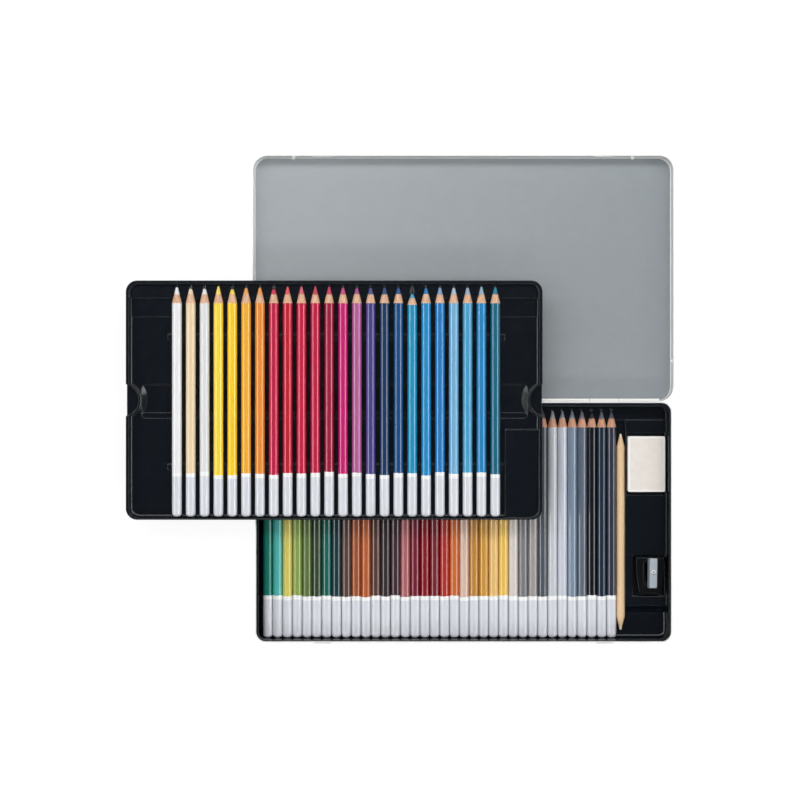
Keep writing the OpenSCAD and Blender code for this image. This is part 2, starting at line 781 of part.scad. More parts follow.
// The finger channel's outside or its hollow: a steep wall on the points' side, a slope on the
// butts' side, and ends that curve round the notches
module tray_channel(grow, bottom, top) {
    rise = (top - bottom) / channel_drop;
    front = channel_shift - channel_w / 2 - grow;
    rear = channel_shift + channel_w / 2 + grow;
    len = channel_len + 2 * grow;
    wide = channel_w + channel_run + channel_rise + 2 * grow;
    difference() {
        intersection() {
            rotate([90, 0, 90]) translate([0, 0, -len / 2]) linear_extrude(len) polygon([
                [front, bottom], [rear, bottom],
                [rear + rise * channel_rise, top], [front - rise * channel_run, top]
            ]);
            translate([0, channel_shift - (channel_run - channel_rise) / 2, bottom])
                rounded_block(len, wide, channel_corner + grow, top - bottom);
        }
        for (s = [-1, 1]) translate([s * (tray_w / 2 + notch_out), 0, bottom])
            notch_slope(grow, top - bottom);
    }
}

// Sloped end of the channel, from its floor up to the ridge round a notch
module notch_slope(grow, rise) {
    foot_r = notch_r + notch_ridge + channel_end - grow;
    slope = (channel_end - join) / channel_drop;
    cylinder(r1 = foot_r, r2 = foot_r - slope * rise, h = rise, $fn = FINE);
}

module tray_rib(y) {
    span = upper_count * upper_pitch + 4;
    translate([upper_shift - span / 2, y - rib_w / 2, tray_floor - join])
        cube([span, rib_w, rib_h + join]);
}

// Raised field in the corner of the tray, less a skin
module tray_cover(skin) {
    bottom = skin > 0 ? channel_drop - 1 : channel_drop;
    outer = skin > 0 ? 0 : film;
    translate([well_half - cover_w + skin, well_front - outer, bottom])
        cube([cover_w - skin + outer, cover_l - skin + outer, tray_floor + cover_h - skin - bottom]);
}

// Where the well of the tray stands
module at_tray_well() {
    translate([0, well_mid, channel_drop]) children();
}

// What stands on the floor of the tray: ledge, step, ribs and the raised field in the corner
module tray_relief() {
    step_w = 2 * (well_half + film);
    translate([-step_w / 2, tray_ledge_y, channel_drop])
        cube([step_w, tray_ledge_d + film, film + tray_ledge_h]);
    translate([-step_w / 2, tray_step_y, channel_drop])
        cube([step_w, well_rear - tray_step_y + film, film + tray_step_h]);
    tray_rib(rib_tip_y);
    tray_rib(rib_butt_y);
    difference() {
        tray_cover(0);
        tray_cover(film);
    }
}

// Black lift-out tray
module upper_tray() {
    well_w = 2 * (well_half + film);
    deep = tray_h - channel_drop;
    corner = tray_corner - tray_front_rim;
    color("#16181c") in_tray() difference() {
        union() {
            difference() {
                union() {
                    at_tray_well()
                        pressed_pan(well_w, well_d + 2 * film, deep, corner + film, pressed_round, film);
                    tray_channel(film / 2, 0, channel_drop + join);
                }
                tray_channel(0, film, tray_floor + join);
                tray_cover(film);
            }
            translate([0, 0, tray_h - film]) well_rim(tray_w, tray_d, tray_corner,
                2 * well_half, well_d, corner, well_mid);
            intersection() {
                tray_relief();
                at_tray_well()
                    pressed_block(well_w, well_d + 2 * film, deep, corner + film, pressed_round);
            }
            for (s = [-1, 1]) notch_disc(s, notch_r + notch_ridge, tray_floor - join, tray_h);
        }
        for (s = [-1, 1]) notch_disc(s, notch_r, notch_floor + film, tray_h + 1);
        for (i = [0:upper_count - 1]) at_upper(i) {
            point_space(tip_clear, 1);
            translate([0, butt_round, 0]) rotate([-90, 0, 0])
                cylinder(r = rib_bed_r, h = painted - butt_round, $fn = ROUND);
        }
    }
}

// ---- loose pieces in the base ----

// Paper stump with two blunt points
module paper_stump() {
    blunt = 0.6;
    r = stump_d / 2;
    color("#dfbe94") translate([stump_x, stump_y, floor_z + bed_gap + r]) rotate([-90, 0, 0])
        rotate_extrude($fn = ROUND) polygon([
            [0, 0], [blunt, 0], [r, stump_cone], [r, stump_len - stump_cone],
            [blunt, stump_len], [0, stump_len]
        ]);
}

module eraser() {
    round_r = 1.2;
    color("#e6dfd6") translate([eraser_x, eraser_y, floor_z + bed_gap])
        rounded_block(eraser_w, eraser_l, round_r, eraser_t);
}

// Outline of the sharpener: bulging sides, a round-cornered end, mouth at +Y
module sharpener_outline() {
    bulge = (sharp_w - sharp_end_w) / 2;
    side_r = (sharp_l * sharp_l + bulge * bulge) / (2 * bulge);
    side_y = sharp_l - sharp_round;
    end_x = sharp_w / 2 - side_r + sqrt(side_r * side_r - side_y * side_y) - sharp_round;
    intersection() {
        union() {
            translate([-sharp_w / 2, sharp_round]) square([sharp_w, sharp_l - sharp_round]);
            translate([-end_x, 0]) square([2 * end_x, sharp_l]);
            for (s = [-1, 1]) translate([s * end_x, sharp_round]) circle(r = sharp_round, $fn = ROUND);
        }
        translate([sharp_w / 2 - side_r, sharp_l]) circle(r = side_r, $fn = 4 * FINE);
        translate([-sharp_w / 2 + side_r, sharp_l]) circle(r = side_r, $fn = 4 * FINE);
    }
}

// Frame of the sharpener: its mouth's top edge is at the height of the body
module on_sharp_slope() {
    translate([0, sharp_l, sharp_h]) rotate([sharp_slope, 0, 0]) children();
}

// Middle of the blade, on top of the sharpener
module at_blade() {
    on_sharp_slope() translate([blade_x, -blade_back - blade_l / 2, 0]) children();
}

module at_sharpener() {
    translate([sharp_x, sharp_y, floor_z + bed_gap]) children();
}

blade_room = 0.2; // round the blade in its seat
blade_seat = blade_t + 0.1; // the blade lies just under the top of the body
blade_corner = 0.8;
bore_drop = sharp_mouth_d / 2 + 0.9;
cone_end_d = 2.2;
hole_room = 0.1; // between the screw and what it goes through

// Moulded body of the sharpener with its cone, blade seat, chip slot and screw hole
module sharpener_body() {
    slot_inset = 3; // of the chip slot, at each end of the blade
    color("#18191b") at_sharpener() difference() {
        linear_extrude(sharp_h) sharpener_outline();
        on_sharp_slope() translate([-sharp_w, -2 * sharp_l, 0]) cube([2 * sharp_w, 3 * sharp_l, sharp_h]);
        at_blade() translate([0, 0, -blade_seat])
            rounded_block(blade_w + 2 * blade_room, blade_l + 2 * blade_room, blade_corner, sharp_h);
        translate([0, sharp_l + 0.01, sharp_h - bore_drop - blade_seat]) rotate([90, 0, 0])
            cylinder(d1 = sharp_mouth_d, d2 = cone_end_d, h = sharp_l + 0.02, $fn = ROUND);
        at_blade() translate([-blade_w / 2 - chip_slot_w, slot_inset - blade_l / 2, -bore_drop])
            cube([chip_slot_w + join, blade_l - 2 * slot_inset, bore_drop + 1]);
        at_blade() screw_hole(bore_drop + 4);
    }
}

module screw_hole(depth) {
    translate([screw_x, screw_y, -depth]) cylinder(r = screw_d / 2 + hole_room, h = depth + 1, $fn = SMALL);
}

module sharpener_blade() {
    color("#c4c9cd") at_sharpener() at_blade() difference() {
        translate([0, 0, 0.05 - blade_seat]) rounded_block(blade_w, blade_l, blade_corner, blade_t);
        screw_hole(blade_seat + 1);
    }
}

module sharpener_screw() {
    head_h = 0.9;
    shank_l = 2.2;
    slit_w = 0.5;
    slit_h = 0.4;
    color("#b4babe") at_sharpener() at_blade() translate([screw_x, screw_y, 0]) difference() {
        union() {
            cylinder(d = screw_head_d, h = head_h, $fn = ROUND);
            translate([0, 0, -shank_l]) cylinder(d = screw_d, h = shank_l + join, $fn = SMALL);
        }
        translate([-screw_head_d, -slit_w / 2, head_h - slit_h]) cube([2 * screw_head_d, slit_w, 1]);
    }
}

// ---- nodes ----

base_tin();
hinge_knuckles();
hinge_wire();
lid_shell();
lower_insert();
upper_tray();
for (i = [0:upper_count - 1]) upper_barrel(i);
upper_cores();  // upper_pencil_cores
for (g = lower_groups) lower_barrels(g[1], g[2]);
covered_cores();  // lower_pencil_cores
for (i = [0:len(lower_single) - 1]) lower_barrels(first_single + i, first_single + i);
grey_cores();  // grey_pencil_cores
paper_stump();
eraser();
sharpener_body();
sharpener_blade();
sharpener_screw();
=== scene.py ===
import logging
import math
from dataclasses import dataclass, field
from enum import Enum
from typing import Any, Protocol, Sequence

import bmesh
import bpy
from mathutils import Matrix, Vector


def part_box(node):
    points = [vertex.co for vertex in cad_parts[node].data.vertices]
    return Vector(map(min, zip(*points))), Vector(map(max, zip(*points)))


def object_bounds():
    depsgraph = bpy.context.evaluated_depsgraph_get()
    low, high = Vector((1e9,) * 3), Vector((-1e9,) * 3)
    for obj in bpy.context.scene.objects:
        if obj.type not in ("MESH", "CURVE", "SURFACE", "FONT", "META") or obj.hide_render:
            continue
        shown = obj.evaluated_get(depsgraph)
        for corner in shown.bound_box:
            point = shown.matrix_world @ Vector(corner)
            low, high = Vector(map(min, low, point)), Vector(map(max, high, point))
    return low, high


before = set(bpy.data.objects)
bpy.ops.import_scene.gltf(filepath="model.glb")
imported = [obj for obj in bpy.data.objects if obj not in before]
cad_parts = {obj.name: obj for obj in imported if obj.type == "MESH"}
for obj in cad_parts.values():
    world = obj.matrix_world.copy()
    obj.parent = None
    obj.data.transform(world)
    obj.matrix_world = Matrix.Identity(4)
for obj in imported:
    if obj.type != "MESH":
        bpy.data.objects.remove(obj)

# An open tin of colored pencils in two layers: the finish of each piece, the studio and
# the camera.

Socket = bpy.types.NodeSocket
log = logging.getLogger("pencil_tin")
MM = 0.001
cad_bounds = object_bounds()


def linear(code: str) -> tuple[float, float, float, float]:
    """Turns an sRGB hex code into a linear colour.

    Args:
        code: The colour as "#rrggbb".

    Returns:
        Red, green, blue and an alpha of 1.
    """
    shares = [int(code[i:i + 2], 16) / 255 for i in (1, 3, 5)]
    bent = [c / 12.92 if c <= 0.04045 else ((c + 0.055) / 1.055) ** 2.4 for c in shares]
    return (*bent, 1.0)


def put(tree: bpy.types.NodeTree, kind: str, inputs: dict[Any, Any] | None = None,
        **settings: Any) -> bpy.types.Node:
    """Adds one node, with its settings, values and links.

    Args:
        tree: The node tree to add to.
        kind: The node's type.
        inputs: Values, or sockets to link from, by input name or number.
        settings: Properties of the node.

    Returns:
        The new node.
    """
    node = tree.nodes.new(kind)
    for name, value in settings.items():
        setattr(node, name, value)
    for key, value in (inputs or {}).items():
        socket = node.inputs[key]
        if isinstance(value, Socket):
            tree.links.new(value, socket)
        else:
            socket.default_value = value
    return node


class Surface:
    """A new material with a Principled surface and the place on the piece in millimetres."""

    def __init__(self, name: str) -> None:
        """Makes the material.

        Args:
            name: Name of the finish.
        """
        self.material = bpy.data.materials.new(name)
        self.material.use_nodes = True
        self.tree = self.material.node_tree
        self.tree.nodes.clear()
        self.shader = put(self.tree, "ShaderNodeBsdfPrincipled")
        put(self.tree, "ShaderNodeOutputMaterial", {"Surface": self.shader.outputs["BSDF"]})
        coordinates = put(self.tree, "ShaderNodeTexCoord")
        self.place = self.put("ShaderNodeVectorMath", {0: coordinates.outputs["Object"],
                                                       1: (1 / MM, 1 / MM, 1 / MM)},
                              operation="MULTIPLY").outputs[0]

    def put(self, kind: str, inputs: dict[Any, Any] | None = None, **settings: Any
            ) -> bpy.types.Node:
        """Adds a node to this material, as put() does."""
        return put(self.tree, kind, inputs, **settings)

    def wear(self, inputs: dict[str, Any]) -> None:
        """Sets or links inputs of the Principled surface.

        Args:
            inputs: Values or sockets by input name.
        """
        for key, value in inputs.items():
            if isinstance(value, Socket):
                self.tree.links.new(value, self.shader.inputs[key])
            else:
                self.shader.inputs[key].default_value = value

    def relief(self, height: Socket, depth: float, edge: float = 0.0) -> None:
        """Gives the surface a bump, and rounds its edges to the eye.

        Args:
            height: Socket with the height, from 0 to 1.
            depth: Height of the relief in millimetres.
            edge: Radius of the rounded edges in millimetres.
        """
        bump = self.put("ShaderNodeBump", {"Strength": 1.0, "Distance": depth * MM,
                                           "Height": height})
        if edge:
            soft = self.put("ShaderNodeBevel", {"Radius": edge * MM}, samples=8)
            self.tree.links.new(soft.outputs[0], bump.inputs["Normal"])
        self.wear({"Normal": bump.outputs["Normal"]})

    def pattern(self, size: float, detail: float, squeeze: Sequence[float] = (1, 1, 1),
                shift: Sequence[float] = (0, 0, 0)) -> Socket:
        """Adds an uneven pattern whose grains have a real size.

        Args:
            size: Size of a grain in millimetres.
            detail: Finer octaves on it.
            squeeze: How much finer the grain is along each axis.
            shift: Offset, so that two patterns differ.

        Returns:
            The pattern's value, from 0 to 1.
        """
        scaled = self.put("ShaderNodeMapping", {"Vector": self.place, "Scale": squeeze,
                                                "Location": shift})
        return self.put("ShaderNodeTexNoise", {"Vector": scaled.outputs[0], "Scale": 1 / size,
                                               "Detail": detail}).outputs["Fac"]


class Finish(Protocol):
    """Anything that makes a material."""

    def material(self) -> bpy.types.Material:
        """Makes the material."""


@dataclass(frozen=True)
class TinplateFinish:
    """Tin-plated steel sheet under a pale clear lacquer: satin, and nearly white by daylight."""

    color: str = "#f8f8f6"
    metal: float = 0.25
    roughness: tuple[float, float] = (0.25, 0.38)  # on and between the marks
    roll: float = 0.8  # millimetres between the rolling marks, coarse enough to show
    depth: float = 0.003  # millimetres, of the marks

    def material(self) -> bpy.types.Material:
        """Makes the material, with faint rolling marks along the sheet."""
        s = Surface("clear_lacquered_tinplate")
        rolled = s.pattern(self.roll, detail=3, squeeze=(0.05, 1, 1))
        rough = s.put("ShaderNodeMapRange", {"Value": rolled, "To Min": self.roughness[0],
                                             "To Max": self.roughness[1]})
        s.wear({"Base Color": linear(self.color), "Metallic": self.metal,
                "Roughness": rough.outputs[0]})
        s.relief(rolled, self.depth)
        return s.material


@dataclass(frozen=True)
class WireFinish:
    """Drawn steel wire: darker than the plate, with fine marks along it."""

    color: str = "#a9acb0"
    roughness: tuple[float, float] = (0.26, 0.42)  # on and between the marks
    mark: float = 0.3  # millimetres between the drawing marks, coarse enough for close views

    def material(self) -> bpy.types.Material:
        """Makes the material."""
        s = Surface("drawn_steel_wire")
        drawn = s.pattern(self.mark, detail=2, squeeze=(0.05, 1, 1))
        rough = s.put("ShaderNodeMapRange", {"Value": drawn, "To Min": self.roughness[0],
                                             "To Max": self.roughness[1]})
        s.wear({"Base Color": linear(self.color), "Metallic": 1.0,
                "Roughness": rough.outputs[0]})
        return s.material


@dataclass(frozen=True)
class LidFinish:
    """Grey lacquer rolled on the lid's panel: satin, cloudy, with pale lacquered tin round it."""

    light: str = "#a4aaae"
    dark: str = "#8c9397"
    rim: str = "#f8f8f6"
    metal: tuple[float, float] = (0.1, 0.25)  # on the panel and on the rim
    roughness: tuple[float, float] = (0.36, 0.52)  # on and between the flecks
    rim_gloss: float = 0.12  # how much less rough the rim is
    panel_top: float = 0.5  # millimetres above the ground where the grey ends
    painted_light_share: tuple[float, float] = (0.9, 0.1)  # painted light: share of the lighter grey at the left and at the right
    reach: float = 150.0  # millimetres each way over which the painted light falls off
    uneven: float = 0.25  # how much the clouds and the flecks shift that share
    cloud: float = 14.0  # millimetres across a cloud in the film
    mottle: float = 2.2  # millimetres between the small flecks
    depth: float = 0.01  # millimetres, of the flecks

    def panel(self, s: Surface, x: Socket, fleck: Socket
              ) -> Socket:
        """Adds the grey of the panel, with painted light that falls off from left to right.

        Args:
            s: The material to add it to.
            x: Place along X in millimetres.
            fleck: The pattern of the flecks.

        Returns:
            The colour.
        """
        cloud = s.pattern(self.cloud, detail=3)
        # painted light: lighter grey on the left, darker on the right
        painted_light_share = s.put("ShaderNodeMapRange", {"Value": x, "From Min": -self.reach,
                                            "From Max": self.reach, "To Min": self.painted_light_share[0],
                                            "To Max": self.painted_light_share[1]})
        clouded = s.put("ShaderNodeMath", {0: cloud, 1: self.uneven, 2: painted_light_share.outputs[0]},
                        operation="MULTIPLY_ADD")
        flecked = s.put("ShaderNodeMath", {0: fleck, 1: self.uneven, 2: clouded.outputs[0]},
                        operation="MULTIPLY_ADD")
        share = s.put("ShaderNodeMath", {0: flecked.outputs[0], 1: self.uneven},
                      operation="SUBTRACT", use_clamp=True)
        return s.put("ShaderNodeMix", {"Factor": share.outputs[0], "A": linear(self.dark),
                                       "B": linear(self.light)},
                     data_type="RGBA").outputs["Result"]

    def material(self) -> bpy.types.Material:
        """Makes the material, with clouds and small flecks in colour and gloss, and painted light
        from left to right.
        """
        s = Surface("satin_grey_lacquer")
        axes = s.put("ShaderNodeSeparateXYZ", {0: s.place})
        fleck = s.pattern(self.mottle, detail=4, shift=(31, 7, 3))
        off_panel = s.put("ShaderNodeMath", {0: axes.outputs["Z"], 1: self.panel_top},
                          operation="GREATER_THAN").outputs[0]
        color = s.put("ShaderNodeMix", {"Factor": off_panel,
                                        "A": self.panel(s, axes.outputs["X"], fleck),
                                        "B": linear(self.rim)}, data_type="RGBA")
        metal = s.put("ShaderNodeMapRange", {"Value": off_panel, "To Min": self.metal[0],
                                             "To Max": self.metal[1]})
        gloss = s.put("ShaderNodeMapRange", {"Value": fleck, "To Min": self.roughness[0],
                                             "To Max": self.roughness[1]})
        rough = s.put("ShaderNodeMath", {0: off_panel, 1: -self.rim_gloss,
                                         2: gloss.outputs[0]}, operation="MULTIPLY_ADD")
        s.wear({"Base Color": color.outputs["Result"], "Roughness": rough.outputs[0],
                "Metallic": metal.outputs[0]})
        s.relief(fleck, self.depth)
        return s.material


@dataclass(frozen=True)
class FormedPlasticFinish:
    """Black polystyrene sheet, formed over a mould by vacuum: near black, semi-gloss, wavy."""

    color: str = "#050b12"
    dusty: str = "#10171f"
    ior: float = 1.59
    roughness: tuple[float, float] = (0.12, 0.22)  # in and on the waves
    wave: float = 9.0  # millimetres between the shallow waves that forming leaves
    peel: float = 0.9  # millimetres between the pores of the mould
    pore: float = 0.08  # height of the pores against the waves
    depth: float = 0.05  # millimetres, of the waves
    edge: float = 0.8  # millimetres of rounding where the sheet bends

    def material(self) -> bpy.types.Material:
        """Makes the material, with waves and pores in its relief and a little dust."""
        s = Surface("black_vacuum_formed_polystyrene")
        wave = s.pattern(self.wave, detail=1)
        peel = s.pattern(self.peel, detail=2, shift=(5, 11, 2))
        color = s.put("ShaderNodeMix", {"Factor": peel, "A": linear(self.color),
                                        "B": linear(self.dusty)}, data_type="RGBA")
        rough = s.put("ShaderNodeMapRange", {"Value": wave, "To Min": self.roughness[0],
                                             "To Max": self.roughness[1]})
        fine = s.put("ShaderNodeMath", {0: peel, 1: self.pore, 2: wave},
                     operation="MULTIPLY_ADD")
        s.wear({"Base Color": color.outputs["Result"], "Roughness": rough.outputs[0],
                "IOR": self.ior})
        s.relief(fine.outputs[0], self.depth, self.edge)
        return s.material


@dataclass(frozen=True)
class Row:
    """Where a row of pencils lies, in millimetres: its lattice along X and its butts."""

    first_x: float
    pitch: float
    butt_y: float
    seed: float  # of the chances that differ from pencil to pencil

    def number(self, s: Surface) -> Socket:
        """Adds nodes that count the pencils of the row.

        Args:
            s: The material to add them to.

        Returns:
            Number of the pencil at this place, from 0.
        """
        x = s.put("ShaderNodeSeparateXYZ", {0: s.place}).outputs["X"]
        off = s.put("ShaderNodeMath", {0: x, 1: self.first_x - self.pitch / 2},
                    operation="SUBTRACT").outputs[0]
        steps = s.put("ShaderNodeMath", {0: off, 1: self.pitch}, operation="DIVIDE").outputs[0]
        return s.put("ShaderNodeMath", {0: steps}, operation="FLOOR").outputs[0]

    def along(self, s: Surface) -> Socket:
        """Adds nodes for the distance from the butts, in millimetres, and returns its socket."""
        y = s.put("ShaderNodeSeparateXYZ", {0: s.place}).outputs["Y"]
        return s.put("ShaderNodeMath", {0: y, 1: self.butt_y}, operation="SUBTRACT").outputs[0]


def shade_of(s: Surface, number: Socket, first: int, shades: Sequence[str]
             ) -> Socket:
    """Adds nodes that pick the shade of each pencil.

    Args:
        s: The material to add them to.
        number: Number of the pencil in its row.
        first: Number of the first shade's pencil.
        shades: The shades, one for each pencil.

    Returns:
        The colour.
    """
    # half a step on, so that each pencil reads the middle of its own stop
    middle = s.put("ShaderNodeMath", {0: number, 1: first - 0.5}, operation="SUBTRACT")
    share = s.put("ShaderNodeMath", {0: middle.outputs[0], 1: len(shades)}, operation="DIVIDE")
    ramp = s.put("ShaderNodeValToRGB", {"Fac": share.outputs[0]})
    ramp.color_ramp.interpolation = "CONSTANT"
    stops = ramp.color_ramp.elements
    stops[0].color = linear(shades[0])
    stops[0].position = 0
    stops.remove(stops[1])
    for i, shade in enumerate(shades[1:], 1):
        stops.new(i / len(shades)).color = linear(shade)
    return ramp.outputs["Color"]


@dataclass(frozen=True)
class PencilFinish:
    """Cedar barrel in glossy lacquer, with a grey dipped end, a white ring and bare wood."""

    name: str
    shades: tuple[str, ...]
    row: Row
    first: int  # number of its first pencil in the row
    painted: float  # millimetres from the butt to the cone
    core_at: float  # millimetres from the butt to the core
    wood: str
    wood_dark: str
    cap_end: float  # millimetres of the grey dip
    dip: float  # millimetres between the shortest and the longest dip
    value: float  # how bright the lacquer is
    cap: str = "#d8dbe2"
    ring: str = "#f3f4f4"
    ring_width: float = 3.1  # millimetres
    wobble: float = 2.4  # millimetres between the wobbles of an edge
    fuzz: float = 0.5  # millimetres between its finer steps
    ring_uneven: float = 0.8  # millimetres by which the ring's edge wobbles
    cap_uneven: float = 0.9  # millimetres by which the dip's edge steps
    cap_fade: float = 0.3  # millimetres each way over which the dip thins out
    paint_uneven: float = 0.3  # millimetres by which the sharpener's edge steps
    paint_short: float = 0.1  # millimetres of bare wood behind the cone
    pool: float = 7.0  # millimetres between the thicker spots of lacquer
    pooling: float = 0.03  # how much brighter or darker they are
    saturation: float = 1.05
    grain: float = 0.9  # millimetres between the grain lines of the wood
    grain_line: tuple[float, float] = (0.35, 0.7)  # values at which a line starts and ends
    grain_depth: float = 0.04  # millimetres
    smear: float = 2.6  # millimetres by which rubbed pigment is uneven
    smear_fade: tuple[float, float] = (-0.6, 0.2)  # millimetres from the core's start
    roughness: tuple[float, float] = (0.3, 0.72)  # of the lacquer and of the wood
    specular: float = 0.12  # low, because the clear coat over it has the gloss
    coat_roughness: float = 0.15
    coat_ior: float = 1.75

    def lacquer(self, s: Surface, number: Socket) -> Socket:
        """Adds the lacquer, a little thicker here and thinner there.

        Args:
            s: The material to add it to.
            number: Number of the pencil in its row.

        Returns:
            The colour.
        """
        pool = s.pattern(self.pool, detail=1, squeeze=(1, 0.15, 1))
        value = s.put("ShaderNodeMapRange", {"Value": pool,
                                             "To Min": (1 - self.pooling) * self.value,
                                             "To Max": (1 + self.pooling) * self.value})
        shade = shade_of(s, number, self.first, self.shades)
        return s.put("ShaderNodeHueSaturation", {"Color": shade, "Value": value.outputs[0],
                                                 "Saturation": self.saturation}
                     ).outputs["Color"]

    def dips(self, s: Surface, number: Socket, along: Socket,
             wobble: Socket, fuzz: Socket,
             paint: Socket) -> Socket:
        """Adds the grey dip over the white one, each longer on one pencil than on the next.

        Args:
            s: The material to add them to.
            number: Number of the pencil in its row.
            along: Distance from the butt in millimetres.
            wobble: The broad pattern of an edge.
            fuzz: The fine pattern of an edge.
            paint: Colour of the lacquer.

        Returns:
            The colour of the whole barrel.
        """
        seeded = s.put("ShaderNodeMath", {0: number, 1: self.row.seed}, operation="ADD")
        chance = s.put("ShaderNodeTexWhiteNoise", {"W": seeded.outputs[0]},
                       noise_dimensions="1D")
        chances = s.put("ShaderNodeSeparateColor", {0: chance.outputs["Color"]})
        dipped = s.put("ShaderNodeMath", {0: chances.outputs[0], 1: self.dip, 2: along},
                       operation="MULTIPLY_ADD")
        ring_dip = s.put("ShaderNodeMath", {0: chances.outputs[1], 1: self.dip / 2,
                                            2: dipped.outputs[0]}, operation="MULTIPLY_ADD")
        ring_edge = s.put("ShaderNodeMath", {0: wobble, 1: self.ring_uneven,
                                             2: ring_dip.outputs[0]}, operation="MULTIPLY_ADD")
        cap_edge = s.put("ShaderNodeMath", {0: fuzz, 1: self.cap_uneven,
                                            2: dipped.outputs[0]}, operation="MULTIPLY_ADD")

        # where the two end on average: half of each chance and of each pattern
        cap_mean = self.cap_end + self.dip / 2 + self.cap_uneven / 2
        ring_mean = (self.cap_end + self.ring_width + self.dip / 2 + self.dip / 4
                     + self.ring_uneven / 2)
        in_ring = s.put("ShaderNodeMath", {0: ring_edge.outputs[0], 1: ring_mean},
                        operation="LESS_THAN")
        in_cap = s.put("ShaderNodeMapRange", {"Value": cap_edge.outputs[0],
                                              "From Min": cap_mean + self.cap_fade,
                                              "From Max": cap_mean - self.cap_fade})
        with_ring = s.put("ShaderNodeMix", {"Factor": in_ring.outputs[0], "A": paint,
                                            "B": linear(self.ring)}, data_type="RGBA")
        return s.put("ShaderNodeMix", {"Factor": in_cap.outputs[0],
                                       "A": with_ring.outputs["Result"],
                                       "B": linear(self.cap)},
                     data_type="RGBA").outputs["Result"]

    def cone(self, s: Surface, along: Socket, wobble: Socket,
             grain: Socket, paint: Socket
             ) -> Socket:
        """Adds the bare wood of the cone, with pigment rubbed over its front end.

        Args:
            s: The material to add it to.
            along: Distance from the butt in millimetres.
            wobble: The broad pattern of an edge.
            grain: The pattern of the wood's grain.
            paint: Colour of the pigment.

        Returns:
            The colour.
        """
        line = s.put("ShaderNodeMapRange", {"Value": grain, "From Min": self.grain_line[0],
                                            "From Max": self.grain_line[1]})
        bare = s.put("ShaderNodeMix", {"Factor": line.outputs[0], "A": linear(self.wood),
                                       "B": linear(self.wood_dark)}, data_type="RGBA")
        smear = s.put("ShaderNodeMath", {0: wobble, 1: self.smear, 2: along},
                      operation="MULTIPLY_ADD")
        smear_mean = self.core_at + self.smear / 2
        rubbed = s.put("ShaderNodeMapRange", {"Value": smear.outputs[0],
                                              "From Min": smear_mean + self.smear_fade[0],
                                              "From Max": smear_mean + self.smear_fade[1]})
        return s.put("ShaderNodeMix", {"Factor": rubbed.outputs[0],
                                       "A": bare.outputs["Result"], "B": paint},
                     data_type="RGBA").outputs["Result"]

    def material(self) -> bpy.types.Material:
        """Makes the material: bands on the barrel, grain on the wood, a coat on the paint."""
        s = Surface(self.name)
        number = self.row.number(s)
        along = self.row.along(s)
        wobble = s.pattern(self.wobble, detail=1)
        fuzz = s.pattern(self.fuzz, detail=2, shift=(3, 9, 1))
        grain = s.pattern(self.grain, detail=4, squeeze=(1, 0.07, 1))
        paint = self.lacquer(s, number)
        edge = s.put("ShaderNodeMath", {0: fuzz, 1: self.paint_uneven, 2: along},
                     operation="MULTIPLY_ADD")
        edge_mean = self.painted + self.paint_uneven / 2 - self.paint_short
        on_wood = s.put("ShaderNodeMath", {0: edge.outputs[0], 1: edge_mean},
                        operation="GREATER_THAN").outputs[0]
        color = s.put("ShaderNodeMix",
                      {"Factor": on_wood,
                       "A": self.dips(s, number, along, wobble, fuzz, paint),
                       "B": self.cone(s, along, wobble, grain, paint)}, data_type="RGBA")
        rough = s.put("ShaderNodeMapRange", {"Value": on_wood, "To Min": self.roughness[0],
                                             "To Max": self.roughness[1]})
        coat = s.put("ShaderNodeMapRange", {"Value": on_wood, "To Min": 1.0, "To Max": 0.0})
        s.wear({"Base Color": color.outputs["Result"], "Roughness": rough.outputs[0],
                "Specular IOR Level": self.specular, "Coat Weight": coat.outputs[0],
                "Coat Roughness": self.coat_roughness, "Coat IOR": self.coat_ior})
        height = s.put("ShaderNodeMath", {0: grain, 1: on_wood}, operation="MULTIPLY")
        s.relief(height.outputs[0], self.grain_depth)
        return s.material


@dataclass(frozen=True)
class CoreFinish:
    """Pressed pigment and binder, cut by the sharpener: dry and dull, chalky in its colour."""

    name: str
    shades: tuple[str, ...]
    row: Row
    first: int  # number of its first pencil in the row
    roughness: float = 0.62
    speck: float = 0.5  # millimetres between the chalky specks
    chalk: tuple[float, float] = (0.86, 1.12)  # brightness of the darkest and palest speck
    cut: float = 0.35  # millimetres between the rings that the blade leaves
    depth: float = 0.05  # millimetres, of the rings

    def material(self) -> bpy.types.Material:
        """Makes the material, with chalky specks and the rings that the blade leaves."""
        s = Surface(self.name)
        shade = shade_of(s, self.row.number(s), self.first, self.shades)
        speck = s.pattern(self.speck, detail=3)
        value = s.put("ShaderNodeMapRange", {"Value": speck, "To Min": self.chalk[0],
                                             "To Max": self.chalk[1]})
        color = s.put("ShaderNodeHueSaturation", {"Color": shade, "Value": value.outputs[0]})
        s.wear({"Base Color": color.outputs["Color"], "Roughness": self.roughness})
        s.relief(s.pattern(self.cut, detail=2, squeeze=(0.4, 1, 0.4)), self.depth)
        return s.material


